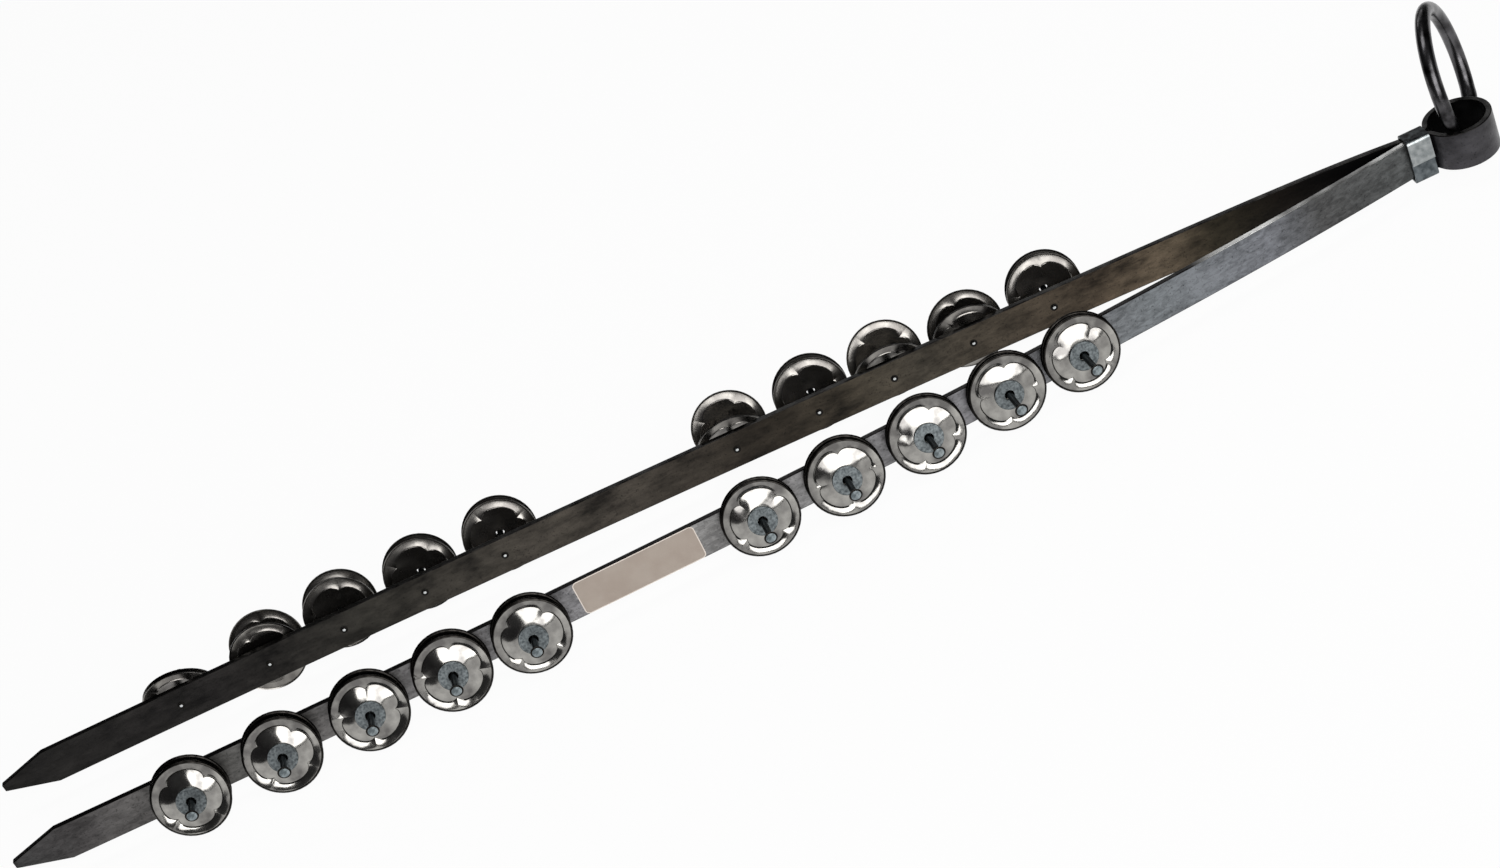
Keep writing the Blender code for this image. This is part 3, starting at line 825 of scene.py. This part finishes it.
def make_ring():
    """The bent and welded rod ring."""
    corners = [corner.co.copy() for corner in nodes["hanging_ring"].data.vertices]
    joint = next(joint for joint in frame["joints"] if joint["name"] == "ring_swing")
    axis = Vector(joint["axis"]).normalized()
    middle = sum(corners, Vector()) / len(corners)
    reach = [((c - middle) - axis * (c - middle).dot(axis)).length for c in corners]
    rod = (max(reach) - min(reach)) / 2 * RING_FIT
    radius = (max(reach) + min(reach)) / 2 * RING_FIT
    bm = bmesh.new()
    loops = []
    for step in range(RING_STEPS):
        turn = 2 * math.pi * step / RING_STEPS
        ray = Vector((math.cos(turn), math.sin(turn), 0))
        weld = 1 + WELD_SWELL * math.exp(-(((turn - WELD_TURN) / WELD_SPREAD) ** 2))
        section = []
        for side in range(RING_SIDES):
            around = 2 * math.pi * side / RING_SIDES
            out, rise = rod * weld * math.cos(around), rod * weld * math.sin(around)
            section.append(bm.verts.new(ray * (radius + out) + UP * rise))
        loops.append(section)
    for loop, following in zip(loops, loops[1:] + loops[:1]):
        for a, b, c, d in zip(loop, loop[1:] + loop[:1], following[1:] + following[:1], following):
            bm.faces.new((a, b, c, d))
    made = add_piece("rod_ring", finish_mesh(bm, "rod_ring"), [RING_STEEL])
    placed(made, middle, axis.to_track_quat("Z", "Y").to_matrix())
    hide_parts("hanging_ring")
    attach(made, "ring")


def make_floor_and_light():
    """White paper floor that keeps the shadow, and three soft lamps."""
    paper, tree, shader = new_material("white_backdrop_paper")
    shader.inputs["Base Color"].default_value = linear("#e9e9e9")
    shader.inputs["Roughness"].default_value = 0.9
    path = add_node(tree, "ShaderNodeLightPath")
    seen = add_node(
        tree,
        "ShaderNodeMath",
        {0: path.outputs["Is Camera Ray"], 1: path.outputs["Is Glossy Ray"]},
        operation="ADD",
    )
    seen = add_node(
        tree,
        "ShaderNodeMath",
        {0: seen.outputs[0], 1: path.outputs["Is Transmission Ray"]},
        operation="ADD",
    )
    share = add_node(
        tree,
        "ShaderNodeMath",
        {0: seen.outputs[0], 1: FLOOR_WHITENESS},
        operation="MULTIPLY",
        use_clamp=True,
    )
    white = add_node(tree, "ShaderNodeEmission", {"Color": (1, 1, 1, 1), "Strength": 1})
    mixed = add_node(
        tree, "ShaderNodeMixShader", {0: share.outputs[0], 1: shader.outputs[0], 2: white.outputs[0]}
    )
    tree.links.new(mixed.outputs[0], tree.nodes["Material Output"].inputs["Surface"])
    bm = bmesh.new()
    bmesh.ops.create_grid(bm, x_segments=1, y_segments=1, size=FLOOR_HALF)
    floor = bpy.data.objects.new("floor", finish_mesh(bm, "floor"))
    floor.data.materials.append(paper)
    floor.location.z = cad_box[0][2]
    bpy.context.scene.collection.objects.link(floor)

    world = bpy.data.worlds.new("studio")
    world.use_nodes = True
    world.node_tree.nodes["Background"].inputs["Color"].default_value = linear("#8c8c8e")
    world.node_tree.nodes["Background"].inputs["Strength"].default_value = 0.2
    bpy.context.scene.world = world
    for name, place, aim, size, power in (
        ("front_softbox", (0.2, -2.0, 1.05), (-0.15, 0, 0.1), (2.1, 1.9), 62),
        ("overhead_softbox", (-0.3, 0.3, 1.9), (-0.35, 0, 0), (1.2, 0.7), 10),
        ("back_softbox", (0.1, 2.0, 1.1), (-0.3, 0, 0), (1.6, 0.5), 5),
    ):
        lamp = bpy.data.lights.new(name, "AREA")
        lamp.shape = "RECTANGLE"
        lamp.size, lamp.size_y = size
        lamp.energy = power
        stand = bpy.data.objects.new(name, lamp)
        stand.location = place
        stand.rotation_euler = (Vector(aim) - Vector(place)).to_track_quat("-Z", "Y").to_euler()
        bpy.context.scene.collection.objects.link(stand)


def make_camera():
    camera = bpy.data.objects.new("camera", bpy.data.cameras.new("camera"))
    camera.data.lens = CAMERA_LENS
    camera.data.sensor_width = 36
    camera.location = CAMERA_PLACE
    look = CAMERA_LOOK.to_track_quat("-Z", "Y") @ Matrix.Rotation(CAMERA_ROLL, 3, "Z").to_quaternion()
    camera.rotation_euler = look.to_euler()
    bpy.context.scene.collection.objects.link(camera)
    bpy.context.scene.camera = camera


make_arms()
make_eye()
make_nail_sets()
make_ring()
make_band()
make_sticker()
make_floor_and_light()
make_camera()
bpy.context.scene.view_settings.view_transform = "Standard"
bpy.context.view_layer.update()
